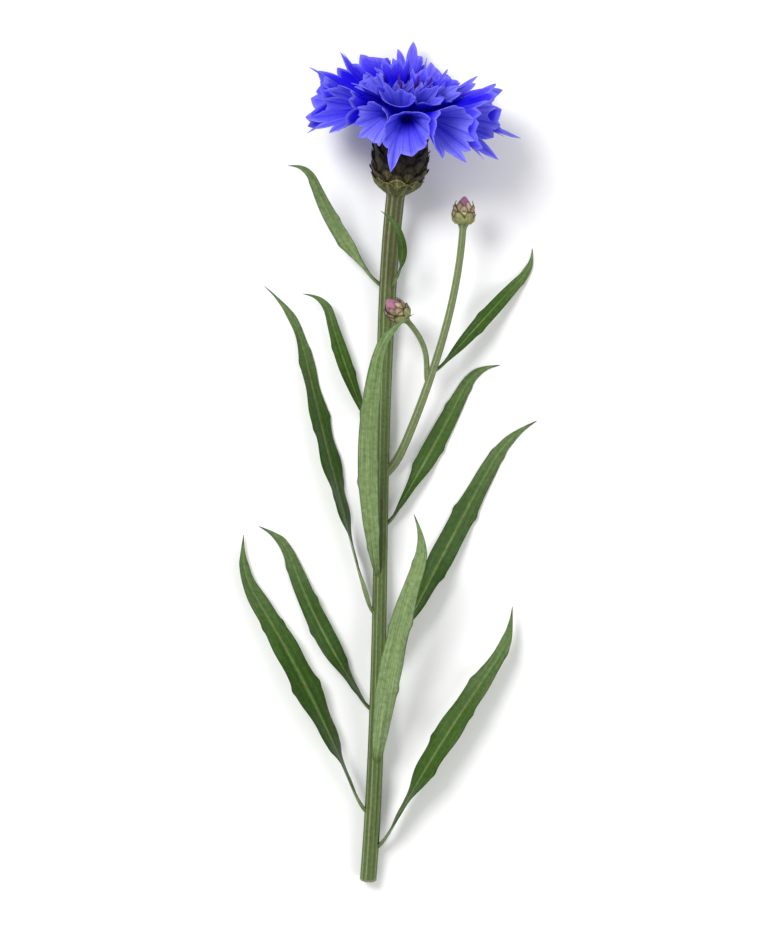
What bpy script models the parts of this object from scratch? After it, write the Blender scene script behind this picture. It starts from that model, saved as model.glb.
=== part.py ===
"""A picked cornflower, lying on a flat surface as it would on a table.

Every length below is in millimetres and every angle in degrees; the meshes are
made in metres. The stem runs along +Y from its cut end to the flower head, and
+Z is up, away from the surface. The head has coordinates of its own, with its
axis along +Z and its origin where the stem meets the bracts.
"""

import math
import random

import bpy
from mathutils import Matrix, Vector

MM = 0.001

# Stem: a cubic curve from the cut end to the neck, where it bends up to the head.
STEM_LENGTH = 148.0
STEM_SWAY = 4.0
STEM_ARCH = 9.6
NECK_HEIGHT = 8.6
NECK_SIDE = 6.0
NECK_REACH = 40.0
CUT_RADIUS, WAIST_RADIUS, NECK_RADIUS = 1.75, 1.5, 1.95
STEM_STEPS, SHOOT_STEPS, STALK_STEPS, STEM_BEVEL = 24, 12, 7, 2

# Head: how far its axis rises from the surface and leans to the side.
HEAD_RISE = 22.0
HEAD_LEAN = 7.0

# Florets grow from a disc and spread like a fountain: upright in the tube of
# bracts, then bending outwards, the more so the nearer they stand to the rim.
DISC_RADIUS = 4.1
DISC_TOP, DISC_DOME = 6.8, 0.8
TUBE_LENGTH, BEND_LENGTH = 6.8, 7.6
RIM_SPREAD, SPREAD_POWER = 99.0, 2.0
SPREAD_WAVES = ((1, 0.11, 0.0), (2, 0.04, 60.0), (3, 0.05, 140.0), (5, 0.05, 60.0))

# Each kind of floret: its band of the disc, where the first one stands, its
# length, lobes, tube and mouth radius, wall, how much of the band it fills, and
# how far along it its cross-sections stand before the toothed rim. Inner kinds
# state how many there are, and the sizes of those vary by the spreads below.
# The outer ones have theirs in order round the head from its left, near side
# first: the degrees of turn each fills, and its length and mouth as shares of
# the usual ones.
FLORETS = {
    "ray_floret": dict(
        band=(0.79, 1.05), turn=-14.0, length=27.0, lobes=7, tube=0.38, mouth=7.8, wall=0.26,
        fill=0.76, rows=(0.0, 6.8, 9.3, 11.9, 14.4),
        sizes=((34, 1.03, 1.0), (32, 1.0, 1.0), (25, 0.84, 0.7), (33, 0.92, 0.85), (30, 1.01, 1.0),
               (28, 1.03, 0.9), (30, 1.05, 1.0), (32, 0.99, 1.0), (30, 0.94, 0.9), (26, 1.02, 0.7),
               (34, 1.0, 1.0), (26, 1.02, 0.8))),
    "inner_floret": dict(
        band=(0.56, 0.79), turn=12.0, count=8, length=22.0, lobes=6, tube=0.32, mouth=4.6, wall=0.24,
        fill=0.72, rows=(0.0, 6.8, 9.3, 11.9)),
    "disc_floret": dict(
        band=(0.36, 0.56), turn=40.0, count=6, length=16.5, lobes=5, tube=0.27, mouth=2.3, wall=0.2,
        fill=0.5, rows=(0.0, 6.8, 9.3)),
    "middle_floret": dict(
        band=(0.16, 0.36), turn=80.0, count=4, length=14.5, lobes=5, tube=0.28, mouth=1.7, wall=0.2,
        fill=0.7, rows=(0.0, 9.3)),
}
LENGTH_SPREAD, MOUTH_SPREAD = 0.1, 0.18
SECTOR_SPREAD = 0.15
SECTOR_FILL = 0.92
LOBE_SHARE = 0.17
SHORTEST_LOBE = 0.9
FLARE_POWER = 1.6
SQUARENESS = 2.4

# Bracts: rows of pointed scales round an egg-shaped base. Each row is given by
# the heights of its foot and its tips, inner rows first; the outline gives a
# radius at each height, the last one the top. Surfaces step inwards under each
# row outside them, eased over a few tucks.
TUCK_EASE = 2.4
LEAST_CORE = 0.5
HEAD_EGG = dict(
    foot=0.3, count=8, notch=1.9, wall=0.26, tuck=0.5,
    rows=((6.7, 13.3), (4.4, 11.2), (2.3, 9.0), (1.3, 6.7), (0.5, 4.4)),
    outline=((0.0, 2.2), (0.5, 2.8), (1.3, 3.8), (2.3, 4.8), (4.4, 5.85), (6.7, 6.15), (9.0, 6.05),
             (11.2, 5.7), (13.4, 5.3)),
)
BUD_EGG = dict(
    foot=0.25, count=6, notch=1.3, wall=0.2, tuck=0.4,
    rows=((1.0, 5.2), (0.35, 3.2)),
    outline=((0.0, 1.0), (0.35, 1.5), (1.0, 2.1), (3.2, 2.5), (5.2, 1.7), (6.2, 0.8)),
)

# Blades are thin sheets that bend, sweep sideways and twist along their length.
BLADE_WALL = 0.36
BLADE_ROWS = 11
BLADE_FOLD = 0.16
BLADE_OUTLINE = ((0.0, 0.42), (0.15, 0.72), (0.35, 1.0), (0.55, 0.95), (0.75, 0.7), (0.9, 0.36),
                 (1.0, 0.12))
TWIST_SHARE = 0.5
HOOK_SHARE = 0.75
STAND_OFF = 0.3
PRESS_DEPTH = 1.4

# Leaves: share of the stem from the cut end, side (0 is right, 90 is up), rise
# from the stem, length, width, bend, sweep, twist, and how the tip hooks sideways.
LEAVES = (
    dict(at=0.05, side=8, rise=25, length=60, width=6.2, bend=19, sweep=-10, twist=62, hook=34),
    dict(at=0.10, side=172, rise=26, length=66, width=6.8, bend=20, sweep=14, twist=-62, hook=-40),
    dict(at=0.17, side=80, rise=20, length=56, width=5.2, bend=22, sweep=-20, twist=-34, hook=46),
    dict(at=0.24, side=186, rise=34, length=47, width=4.6, bend=6, sweep=-18, twist=-96, hook=50),
    dict(at=0.30, side=0, rise=25, length=64, width=5.6, bend=18, sweep=-4, twist=74, hook=-30),
    dict(at=0.37, side=166, rise=17, length=76, width=6.4, bend=15, sweep=-4, twist=-52, hook=36),
    dict(at=0.42, side=112, rise=21, length=60, width=4.4, bend=12, sweep=-26, twist=30, hook=-40),
    dict(at=0.49, side=-8, rise=29, length=44, width=4.4, bend=8, sweep=4, twist=80, hook=-56),
    dict(at=0.61, side=176, rise=24, length=36, width=3.4, bend=-6, sweep=-12, twist=-76, hook=70),
    dict(at=0.84, side=66, rise=46, length=21, width=2.0, bend=30, sweep=92, twist=140, hook=0),
    dict(at=0.84, side=178, rise=42, length=34, width=3.2, bend=-20, sweep=-26, twist=100, hook=78),
)

# Side shoot: where it leaves the stem, the points it bends through, its leaf, and
# the stalk that carries a second bud.
SHOOT_AT = 0.565
SHOOT_RADIUS = 0.95
STALK_AT, STALK_RADIUS = 0.4, 0.6
STALK_RISE, STALK_LEAN, STALK_REACH = (4.0, 7.0), 2.5, (-3.8, 11.0, 3.4)
SHOOT_BENDS = ((7.0, 17.0, 5.0), (13.5, 34.0, 7.5), (14.5, 52.0, 9.0))
SHOOT_LEAF = dict(at=0.42, side=-30, rise=26, length=36, width=3.2, bend=24, sweep=-4, twist=60,
                  hook=44)

COLOURS = {
    "floret": (0.075, 0.06, 0.66),
    "floret_heart": (0.035, 0.02, 0.50),
    "bract": (0.05, 0.05, 0.04),
    "stem": (0.24, 0.30, 0.17),
    "leaf": (0.12, 0.21, 0.07),
    "bud": (0.30, 0.14, 0.20),
}


def smooth(value):
    """Ease from 0 to 1, flat at both ends."""
    value = max(0.0, min(1.0, value))
    return value * value * (3.0 - 2.0 * value)


def between(stations, place):
    """The value at a place along a list of (place, value) stations."""
    for (here, first), (there, second) in zip(stations, stations[1:]):
        if place <= there:
            return first + (second - first) * max(0.0, place - here) / (there - here)
    return stations[-1][1]


def rest(point):
    """Ease a point that would sink below the surface up to lie just above it."""
    if point.z < PRESS_DEPTH:
        point = Vector((point.x, point.y, PRESS_DEPTH * math.exp(point.z / PRESS_DEPTH - 1.0)))
    return point


def bezier(knots, share):
    """A point of a cubic curve given by its four knots."""
    back = 1.0 - share
    weights = (back ** 3, 3 * back ** 2 * share, 3 * back * share ** 2, share ** 3)
    return sum((Vector(knot) * weight for knot, weight in zip(knots, weights)), Vector())


def head_axis():
    """The direction the flower head faces."""
    rise, lean = math.radians(HEAD_RISE), math.radians(HEAD_LEAN)
    return Vector((math.sin(lean) * math.cos(rise), math.cos(lean) * math.cos(rise), math.sin(rise)))


def stem_knots():
    """The four knots of the stem's curve, from the cut end to the neck."""
    neck = Vector((NECK_SIDE, STEM_LENGTH, NECK_HEIGHT))
    arch = Vector((STEM_SWAY, STEM_LENGTH / 3.0, STEM_ARCH))
    return (Vector((0.0, 0.0, CUT_RADIUS + 0.2)), arch, neck - head_axis() * NECK_REACH, neck)


def stem_radius(share):
    """The stem is thickest under the head and at the cut, slimmest between."""
    low = CUT_RADIUS + (WAIST_RADIUS - CUT_RADIUS) * smooth(share / 0.5)
    return low + (NECK_RADIUS - WAIST_RADIUS) * smooth((share - 0.5) / 0.5)


def frame_at(knots, share):
    """Where a curve is at a share of its length, its direction, side and up."""
    here = bezier(knots, share)
    ahead = (bezier(knots, share + 0.01) - bezier(knots, share - 0.01)).normalized()
    side = ahead.cross(Vector((0.0, 0.0, 1.0))).normalized()
    return here, ahead, side, side.cross(ahead)


def new_object(name, data, parent, material, matrix=None):
    """Put an object into the scene under its parent, at a place given in millimetres."""
    thing = bpy.data.objects.new(name, data)
    bpy.context.collection.objects.link(thing)
    thing.parent = parent
    if data is not None:
        data.materials.append(material)
    if matrix is not None:
        thing.location = matrix.to_translation() * MM
        thing.rotation_euler = matrix.to_euler()
    return thing


def sheet(name, rows, matrix, parent, material, wall, around=False, foot=None):
    """A thin sheet through rows of points; around joins each row into a ring."""
    back = matrix.inverted()
    points = [back @ point * MM for row in rows for point in row]
    wide = len(rows[0])
    spans = wide if around else wide - 1
    faces = []
    for row in range(len(rows) - 1):
        for spot in range(spans):
            here, beside = row * wide + spot, row * wide + (spot + 1) % wide
            faces.append((here, beside, beside + wide, here + wide))
    if foot is not None:
        points.append(back @ foot * MM)
        faces += [((spot + 1) % wide, spot, len(points) - 1) for spot in range(wide)]
    data = bpy.data.meshes.new(name)
    data.from_pydata(points, [], faces)
    data.shade_smooth()
    thing = new_object(name, data, parent, material, matrix)
    skin = thing.modifiers.new("wall", "SOLIDIFY")
    skin.thickness = wall * MM
    skin.offset = 0.0
    return thing


def rod(name, knots, radius, parent, material, steps):
    """A round rod along a cubic curve, its radius given for each share of it."""
    start = Vector(knots[0])
    data = bpy.data.curves.new(name, "CURVE")
    data.dimensions = "3D"
    data.bevel_depth = MM
    data.bevel_resolution = STEM_BEVEL
    data.use_fill_caps = True
    spline = data.splines.new("POLY")
    spline.points.add(steps)
    for index, point in enumerate(spline.points):
        share = index / steps
        point.co = (*((bezier(knots, share) - start) * MM), 1.0)
        point.radius = radius(share)
    return new_object(name, data, parent, material, Matrix.Translation(start))


def turned(name, profile, matrix, parent, material, sides=16):
    """A solid turned about the local Z axis from a profile of (radius, height)."""
    points = [Vector((0.0, 0.0, profile[0][1])) * MM]
    for radius, height in profile:
        for spot in range(sides):
            turn = 2.0 * math.pi * spot / sides
            points.append(Vector((radius * math.cos(turn), radius * math.sin(turn), height)) * MM)
    points.append(Vector((0.0, 0.0, profile[-1][1])) * MM)
    last = 1 + (len(profile) - 1) * sides
    faces = []
    for spot in range(sides):
        beside = (spot + 1) % sides
        faces.append((0, 1 + beside, 1 + spot))
        faces.append((last + spot, last + beside, len(points) - 1))
        for row in range(1, last, sides):
            faces.append((row + spot, row + beside, row + beside + sides, row + spot + sides))
    data = bpy.data.meshes.new(name)
    data.from_pydata(points, [], faces)
    data.shade_smooth()
    return new_object(name, data, parent, material, matrix)


def fountain(spread, turn, reach):
    """A point of the open flower: its share of the disc, its turn, how far along."""
    sway = sum(size * math.sin(waves * turn + math.radians(phase))
               for waves, size, phase in SPREAD_WAVES)
    angle = math.radians(RIM_SPREAD) * spread ** SPREAD_POWER * (1.0 + sway)
    bent = angle * max(0.0, min(1.0, (reach - TUBE_LENGTH) / BEND_LENGTH))
    round_off = BEND_LENGTH / angle
    beyond = max(0.0, reach - TUBE_LENGTH - BEND_LENGTH)
    out = DISC_RADIUS * spread + round_off * (1.0 - math.cos(bent)) + beyond * math.sin(angle)
    rise = min(reach, TUBE_LENGTH) + round_off * math.sin(bent) + beyond * math.cos(angle)
    height = DISC_TOP + DISC_DOME * (1.0 - spread ** 2) + rise
    return Vector((out * math.cos(turn), out * math.sin(turn), height))


def squared(value):
    """Push a sine or cosine outwards, for a rounder-cornered cross-section."""
    return math.copysign(abs(value) ** (2.0 / SQUARENESS), value)


def ring(kind, chance):
    """Each floret of a kind: the edges of its share of the turn, length, mouth and lobe ends."""
    sizes = kind.get("sizes") or [
        (1.0 + chance.uniform(-SECTOR_SPREAD, SECTOR_SPREAD),
         1.0 + chance.uniform(-LENGTH_SPREAD, LENGTH_SPREAD),
         1.0 + chance.uniform(-MOUTH_SPREAD, MOUTH_SPREAD)) for _ in range(kind["count"])]
    whole = sum(width for width, _, _ in sizes)
    edge = math.radians(kind["turn"])
    for width, longer, wider in sizes:
        edges = (edge, edge + 2.0 * math.pi * width / whole)
        edge = edges[1]
        length = kind["length"] * longer
        tips = [length * chance.uniform(SHORTEST_LOBE, 1.0) for _ in range(kind["lobes"])]
        yield edges, length, kind["mouth"] * wider, tips


def floret(name, kind, edges, length, mouth, tips, head, parent, material):
    """One funnel-shaped floret, kept to its own share of the flower."""
    low, high = kind["band"]
    turn, half_turn = (edges[0] + edges[1]) / 2.0, (edges[1] - edges[0]) / 2.0
    centre, half_band = (low + high) / 2.0, (high - low) / 2.0
    notch = length * (1.0 - LOBE_SHARE)
    rim = [end for tip in tips for end in (tip, notch)]
    rows = []
    for reaches in [[reach] * len(rim) for reach in kind["rows"]] + [rim]:
        row = []
        for spot, reach in enumerate(reaches):
            flare = max(0.0, (reach - TUBE_LENGTH) / (length - TUBE_LENGTH))
            radius = kind["tube"] + (mouth - kind["tube"]) * flare ** FLARE_POWER
            middle = fountain(centre, turn, reach)
            across = half_turn * math.hypot(middle.x, middle.y)
            deep = (fountain(high, turn, reach) - fountain(low, turn, reach)).length / 2.0
            way = math.pi * (spot + 0.5) / kind["lobes"]
            aside = squared(math.cos(way)) * min(radius / across, SECTOR_FILL)
            out = squared(math.sin(way)) * min(radius / deep, kind["fill"])
            row.append(fountain(centre + half_band * out, turn + half_turn * aside, reach))
        rows.append([rest(head @ point) for point in row])
    base = fountain(centre, turn, 0.0)
    matrix = Matrix.Translation(base) @ Matrix.Rotation(turn, 4, "Z")
    rows = [[head.inverted() @ point for point in row] for row in rows]
    return sheet(name, rows, matrix, parent, material, kind["wall"], around=True, foot=base)


def florets(head, parent, materials):
    """Rings of florets, each floret in its own share of a full turn."""
    chance = random.Random(11)
    for name, kind in FLORETS.items():
        material = materials["floret" if kind["lobes"] > 5 else "floret_heart"]
        for spot, shape in enumerate(ring(kind, chance)):
            floret(f"{name}_{spot + 1:02d}", kind, *shape, head, parent, material)


def egg_heights(egg):
    """The heights at which every surface of a head or bud changes slope."""
    return sorted({height for row in egg["rows"] for height in row})


def egg_radius(egg, height, rows):
    """The radius at a height, pressed in by the rows of bracts outside."""
    edge = egg["tuck"] * TUCK_EASE
    cover = sum(smooth((top + edge - height) / edge) for _, top in rows)
    return between(egg["outline"], height) - egg["tuck"] * cover


def bract_row(name, egg, row, parent, material, matrix):
    """One ring of pointed bracts, tucked under the rows outside it."""
    low, high = egg["rows"][row]
    notch = high - egg["notch"]
    rings = []
    for level in [height for height in egg_heights(egg) if low <= height < notch] + [None]:
        ring = []
        for spot in range(2 * egg["count"]):
            top = high if spot % 2 == row % 2 else notch
            height = top if level is None else level
            radius = egg_radius(egg, height, egg["rows"][row + 1:])
            turn = math.pi * spot / egg["count"]
            ring.append(matrix @ Vector((radius * math.cos(turn), radius * math.sin(turn), height)))
        rings.append(ring)
    return sheet(name, rings, matrix, parent, material, egg["wall"], around=True)


def core(name, egg, top, parent, material, matrix):
    """The solid middle that the bracts are wrapped round."""
    heights = [height for height in egg_heights(egg) if egg["foot"] < height < top]
    profile = [(max(egg_radius(egg, height, egg["rows"]), LEAST_CORE), height)
               for height in [egg["foot"]] + heights + [top]]
    return turned(name, profile, matrix, parent, material, sides=2 * egg["count"])


def blade_path(start, ahead, spec):
    """Points and directions along a blade that droops, sweeps and hooks as it goes."""
    heading = math.atan2(ahead.y, ahead.x)
    lift = math.asin(max(-1.0, min(1.0, ahead.z)))
    points, ways = [start.copy()], [ahead.copy()]
    step = spec["length"] / (BLADE_ROWS - 1)
    for row in range(1, BLADE_ROWS):
        share = (row - 0.5) / (BLADE_ROWS - 1)
        level = lift - math.radians(spec["bend"]) * share
        facing = heading + math.radians(spec["sweep"]) * share ** 1.5
        facing += math.radians(spec["hook"]) * smooth((share - HOOK_SHARE) / (1.0 - HOOK_SHARE))
        way = Vector((math.cos(level) * math.cos(facing), math.cos(level) * math.sin(facing),
                      math.sin(level)))
        points.append(points[-1] + way * step)
        ways.append(way)
    return points, ways


def leaf(name, spec, knots, radius, parent, material):
    """A narrow blade that leaves a stem at its side."""
    here, ahead, side, up = frame_at(knots, spec["at"])
    turn, rise = math.radians(spec["side"]), math.radians(spec["rise"])
    outward = side * math.cos(turn) + up * math.sin(turn)
    start = here + outward * (radius + STAND_OFF + BLADE_WALL / 2.0)
    way = ahead * math.cos(rise) + outward * math.sin(rise)
    points, ways = blade_path(start, way, spec)
    rows = []
    for row, (point, way) in enumerate(zip(points, ways)):
        share = row / (BLADE_ROWS - 1)
        grow = between(BLADE_OUTLINE, share)
        level = way.cross(Vector((0.0, 0.0, 1.0))).normalized()
        roll = math.atan2(-math.cos(turn), -math.sin(turn))
        roll += math.radians(spec["twist"]) * smooth(share / TWIST_SHARE)
        across = Matrix.Rotation(roll, 3, way) @ level
        fold = across.cross(way) * BLADE_FOLD
        half = spec["width"] * grow / 2.0
        rows.append([rest(point + (across + fold) * half), rest(point),
                     rest(point + (fold - across) * half)])
    matrix = Matrix.Translation(start) @ Matrix.Rotation(math.atan2(way.y, way.x), 4, "Z")
    return sheet(name, rows, matrix, parent, material, BLADE_WALL)


def bud(name, egg, matrix, parent, materials):
    """A closed bud: a solid middle in rings of bracts."""
    core(f"{name}_core", egg, egg["outline"][-1][0], parent, materials["bud"], matrix)
    for row in range(len(egg["rows"])):
        bract_row(f"{name}_bracts_{row + 1}", egg, row, parent, materials["bract"], matrix)


def stand_on(point, axis):
    """The placing of a head or bud whose neck is at a point."""
    return Matrix.Translation(point) @ axis.to_track_quat("Z", "Y").to_matrix().to_4x4()


def side_shoot(root, knots, materials):
    """The shoot that forks from the stem, with its small buds and leaf."""
    here, ahead, side, up = frame_at(knots, SHOOT_AT)
    start = here + side * (stem_radius(SHOOT_AT) + SHOOT_RADIUS + STAND_OFF)
    bends = [start] + [start + Vector(bend) for bend in SHOOT_BENDS]
    rod("shoot_stem", bends, shoot_radius, root, materials["stem"], SHOOT_STEPS)
    leaf("shoot_leaf", SHOOT_LEAF, bends, SHOOT_RADIUS, root, materials["leaf"])
    tip, ahead, side, up = frame_at(bends, 1.0)
    bud("tip_bud", BUD_EGG, stand_on(tip, ahead), root, materials)
    joint, ahead, side, up = frame_at(bends, STALK_AT)
    base = joint - side * (SHOOT_RADIUS + STALK_RADIUS + STAND_OFF)
    stalk = [base, base + ahead * STALK_RISE[0], base + ahead * STALK_RISE[1] - side * STALK_LEAN,
             base + Vector(STALK_REACH)]
    rod("bud_stalk", stalk, stalk_radius, root, materials["stem"], STALK_STEPS)
    tip, ahead, side, up = frame_at(stalk, 1.0)
    bud("side_bud", BUD_EGG, stand_on(tip, ahead), root, materials)


def shoot_radius(share):
    """The side shoot slims a little towards its bud."""
    return SHOOT_RADIUS * (1.0 - 0.2 * share)


def stalk_radius(share):
    """The bud stalk keeps one width."""
    return STALK_RADIUS


def set_down(root):
    """Move everything so the middle of its underside is at the origin."""
    bpy.context.view_layer.update()
    graph = bpy.context.evaluated_depsgraph_get()
    points = []
    for thing in bpy.data.objects:
        if thing.type in {"MESH", "CURVE"}:
            solid = thing.evaluated_get(graph)
            data = solid.to_mesh()
            points += [solid.matrix_world @ vertex.co for vertex in data.vertices]
            solid.to_mesh_clear()
    low = Vector([min(point[axis] for point in points) for axis in range(3)])
    high = Vector([max(point[axis] for point in points) for axis in range(3)])
    root.location = -Vector(((low.x + high.x) / 2.0, (low.y + high.y) / 2.0, low.z))


def principled(name, colour):
    """A plain matt material of one colour."""
    material = bpy.data.materials.new(name)
    material.use_nodes = True
    shader = material.node_tree.nodes["Principled BSDF"]
    shader.inputs["Base Color"].default_value = (*colour, 1.0)
    shader.inputs["Roughness"].default_value = 0.6
    material.diffuse_color = (*colour, 1.0)
    return material


def build():
    """Make the whole picked flower."""
    for thing in list(bpy.data.objects):
        bpy.data.objects.remove(thing)
    materials = {name: principled(name, colour) for name, colour in COLOURS.items()}
    root = new_object("cornflower", None, None, None)
    knots = stem_knots()
    rod("stem", knots, stem_radius, root, materials["stem"], STEM_STEPS)
    placing = stand_on(knots[3], head_axis())
    head = new_object("head", None, root, None, placing)
    core("receptacle", HEAD_EGG, DISC_TOP - STAND_OFF, head, materials["bract"], Matrix())
    for row in range(len(HEAD_EGG["rows"])):
        bract_row(f"bracts_{row + 1}", HEAD_EGG, row, head, materials["bract"], Matrix())
    florets(placing, head, materials)
    for spot, spec in enumerate(LEAVES):
        leaf(f"leaf_{spot + 1}", spec, knots, stem_radius(spec["at"]), root, materials["leaf"])
    side_shoot(root, knots, materials)
    set_down(root)


build()
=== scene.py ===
"""The picked cornflower, dressed: fine petals, scales, leaves and stem over the solid model.

Shapes are worked out in millimetres in the plant's own coordinates: the stem runs
along +Y from its cut end to the head, and +Z is up. They are moved onto the
solid model by the place of its cut end.
"""

import math
import random

import bpy
import numpy as np
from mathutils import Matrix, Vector


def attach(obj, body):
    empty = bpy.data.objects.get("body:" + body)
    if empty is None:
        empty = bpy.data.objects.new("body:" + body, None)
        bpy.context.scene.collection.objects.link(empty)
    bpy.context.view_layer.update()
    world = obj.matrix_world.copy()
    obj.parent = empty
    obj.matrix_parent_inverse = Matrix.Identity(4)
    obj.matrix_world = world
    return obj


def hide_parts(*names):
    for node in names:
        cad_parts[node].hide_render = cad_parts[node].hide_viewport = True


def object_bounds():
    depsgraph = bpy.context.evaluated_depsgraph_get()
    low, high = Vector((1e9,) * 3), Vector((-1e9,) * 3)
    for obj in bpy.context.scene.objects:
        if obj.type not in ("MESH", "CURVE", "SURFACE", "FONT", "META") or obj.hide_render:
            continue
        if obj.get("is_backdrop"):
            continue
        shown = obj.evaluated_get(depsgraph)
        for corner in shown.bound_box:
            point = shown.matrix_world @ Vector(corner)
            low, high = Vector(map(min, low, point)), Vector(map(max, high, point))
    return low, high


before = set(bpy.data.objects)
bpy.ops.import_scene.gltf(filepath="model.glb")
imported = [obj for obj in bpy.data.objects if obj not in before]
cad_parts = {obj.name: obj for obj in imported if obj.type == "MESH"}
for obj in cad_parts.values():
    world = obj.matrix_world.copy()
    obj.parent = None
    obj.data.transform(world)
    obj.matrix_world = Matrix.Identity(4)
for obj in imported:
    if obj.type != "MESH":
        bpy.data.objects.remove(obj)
CAD_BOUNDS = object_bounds()

MM = 0.001
STEP = 0.01
UP = np.array((0.0, 0.0, 1.0))

# ---- The plant's own dimensions, as the solid model has them ----
STEM_LENGTH = 148.0
STEM_SWAY = 4.0
STEM_ARCH = 9.6
NECK_HEIGHT = 8.6
NECK_SIDE = 6.0
NECK_REACH = 40.0
CUT_RADIUS, WAIST_RADIUS, NECK_RADIUS = 1.75, 1.5, 1.95
CUT_LIFT, CUT_CORNERS = 0.2, 8
HEAD_RISE, HEAD_LEAN = 22.0, 7.0

DISC_RADIUS = 4.1
DISC_TOP, DISC_DOME = 6.8, 0.8
TUBE_LENGTH, BEND_LENGTH = 6.8, 7.6
RIM_SPREAD, SPREAD_POWER = 99.0, 2.0
SPREAD_WAVES = ((1, 0.11, 0.0), (2, 0.04, 60.0), (3, 0.05, 140.0), (5, 0.05, 60.0))
# Each kind's band of the disc, first turn, length, radii of tube and mouth, share of its room
# that it may fill, lobes of the solid model and teeth of the finished rim. The outer florets
# have, in order round the head, the degrees of turn each fills, and its length and mouth as
# shares of the usual ones.
FLORETS = {
    "ray_floret": dict(
        band=(0.79, 1.05), turn=-14.0, length=27.0, tube=0.38, mouth=7.8, fill=0.76,
        lobes=7, teeth=10,
        sizes=((34, 1.03, 1.0), (32, 1.0, 1.0), (25, 0.84, 0.7), (33, 0.92, 0.85), (30, 1.01, 1.0),
               (28, 1.03, 0.9), (30, 1.05, 1.0), (32, 0.99, 1.0), (30, 0.94, 0.9), (26, 1.02, 0.7),
               (34, 1.0, 1.0), (26, 1.02, 0.8))),
    "inner_floret": dict(
        band=(0.56, 0.79), turn=12.0, length=22.0, tube=0.32, mouth=4.6, fill=0.72,
        lobes=6, teeth=7, count=8),
    "disc_floret": dict(
        band=(0.36, 0.56), turn=40.0, length=16.5, tube=0.27, mouth=2.3, fill=0.5,
        lobes=5, teeth=5, count=6),
    "middle_floret": dict(
        band=(0.16, 0.36), turn=80.0, length=14.5, tube=0.28, mouth=1.7, fill=0.7,
        lobes=5, teeth=5, count=4),
}
LARGE_KINDS = ("ray_floret", "inner_floret")
FLORET_SEED = 11
LENGTH_SPREAD, MOUTH_SPREAD = 0.1, 0.18
SECTOR_SPREAD = 0.15
SECTOR_FILL = 0.92
LOBE_SHARE = 0.17
SHORTEST_LOBE = 0.9
FLARE_POWER = 1.6
SQUARENESS = 2.4
PETAL_WALL = 0.11
LARGE_ROWS, SMALL_ROWS, TOOTH_COLUMNS = 34, 24, 10
ROW_PACE = 0.9
# How a finished tooth reaches, leans and curls, the depth of the notch beside it, and its point.
TOOTH_REACH, TOOTH_LEAN, TOOTH_CURL = (0.96, 1.02), 0.2, (-0.10, 0.40)
NOTCH_DEPTH, TOOTH_POINT = (0.5, 1.15), (0.6, 0.95)
TEETH_FROM, TEETH_ROOM = 0.8, 0.16
FLARE_CURL, NOTCH_GRIP = 1.5, 0.3
# Folds of the funnel, with the distances past the tube at which they begin and over which
# they grow: a pinch between teeth and a crease down the middle of each.
PINCH, PINCH_POWER, PINCH_FROM, PINCH_OVER = 0.13, 1.6, 2.0, 5.0
CREASE, CREASE_WIDTH, CREASE_OVER = 0.035, 0.16, 6.0
# Teeth that reach far past the rest of their floret's rim.
LONG_TEETH = {"ray_floret_04": (3, 1.1), "ray_floret_07": (2, 1.07), "ray_floret_01": (6, 1.05),
              "ray_floret_10": (7, 1.02)}
ANTHER_FOOT, ANTHER_TOP, ANTHER_RADIUS, ANTHER_TAPER = 0.5, 1.03, 0.3, 0.35
ANTHER_ROWS, ANTHER_SIDES = 16, 10
COLLAR, COLLAR_AT, COLLAR_WIDTH = 0.3, 0.86, 0.07

HEAD_EGG = dict(
    notch=1.9, count=8, whorls=2, tuck=0.5, wall=0.14,
    rows=((6.7, 13.3), (4.4, 11.2), (2.3, 9.0), (1.3, 6.7), (0.5, 4.4)),
    outline=((0.0, 2.2), (0.5, 2.8), (1.3, 3.8), (2.3, 4.8), (4.4, 5.85), (6.7, 6.15), (9.0, 6.05),
             (11.2, 5.7), (13.4, 5.3)),
)
BUD_EGG = dict(
    notch=1.3, count=6, whorls=2, tuck=0.4, wall=0.12,
    rows=((1.0, 5.2), (0.35, 3.2)),
    outline=((0.0, 1.0), (0.35, 1.5), (1.0, 2.1), (3.2, 2.5), (5.2, 1.7), (6.2, 0.8)),
)

# Scales: how far an outer half-row stands below its row and outside it, the spread of one
# scale as a share of its row's spacing, and the share of its length where it starts to taper.
HALF_ROW, HALF_ROW_STAND, SCALE_SPREAD = 0.15, 0.45, 0.55
TAPER_FROM, TAPER_OVER, SCALE_POINT = 0.42, 0.58, 0.012
SCALE_ROWS, SCALE_COLUMNS = 31, 13
SCALE_TIPS, SCALE_WIDTHS, SCALE_STRAY = (-0.26, 0.14), (0.85, 1.1), 0.06
SCALE_BULGE, SCALE_TILT, SCALE_LIFT, SCALE_SKEW = 0.20, 0.14, 0.56, 0.04
SCALE_THINNING = 0.55
# The fringe's depth, where it begins and over how much it grows, the rows from one thread to
# the next, and how far the edge between them is drawn in.
FRINGE, FRINGE_FROM, FRINGE_OVER, THREAD_ROWS, THREAD_GAP = 0.14, 0.45, 0.2, 3, -0.4
EGG_FOOT = 0.3
EGG_ROWS, EGG_SIDES, EGG_RIBS, EGG_RIB_DEPTH = 26, 48, 12, 0.02
TUCK_EASE, LEAST_CORE = 2.4, 0.5

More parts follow.
